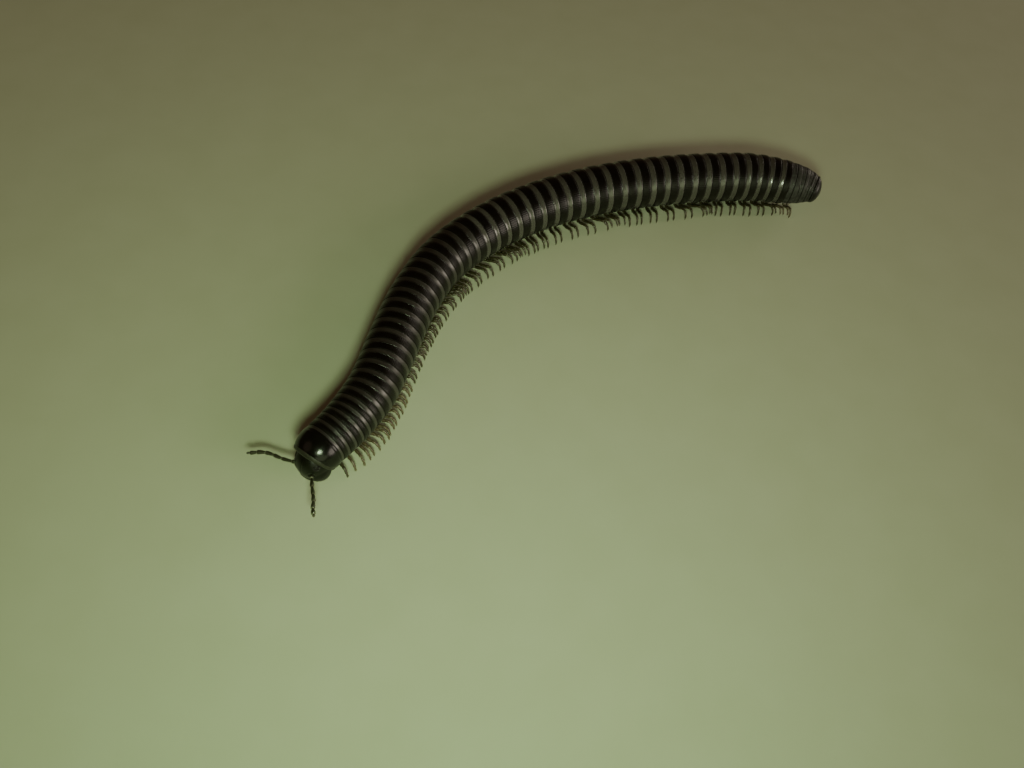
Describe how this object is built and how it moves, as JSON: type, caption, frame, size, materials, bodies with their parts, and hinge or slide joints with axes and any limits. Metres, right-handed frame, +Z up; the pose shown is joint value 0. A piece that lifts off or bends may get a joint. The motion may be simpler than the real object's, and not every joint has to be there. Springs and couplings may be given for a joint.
{
  "type": "lobed pachyiulus millipede",
  "caption": "Still, life-size model of a large black and grey banded millipede walking in a gentle S curve, with ringed trunk, many short legs and beaded antennae.",
  "frame": {"origin": "on the floor, under the middle of the box that holds the animal", "axes": "+Z up; +X from the head's end towards the tail's end, the longest extent; +Y away from the viewer of the picture, so the head points to -X -Y"},
  "size_m": [0.0683, 0.0629, 0.0076],
  "materials": {
    "ring_plate": "glossy dark brown-black chitin with paler grey front bands",
    "head_plate": "glossy olive-black chitin",
    "eye": "glossy black eye patch",
    "antenna": "satin dark brown chitin"
  },
  "bodies": {
    "root": {"head": "head_plate", "eye_left": "eye", "eye_right": "eye", "antenna_left": "antenna", "antenna_right": "antenna", "collum": "ring_plate", "trunk_1": "ring_plate", "trunk_2": "ring_plate", "trunk_3": "ring_plate", "trunk_4": "ring_plate", "trunk_5": "ring_plate", "trunk_6": "ring_plate", "trunk_7": "ring_plate", "trunk_8": "ring_plate", "telson": "ring_plate"}
  },
  "joints": []
}
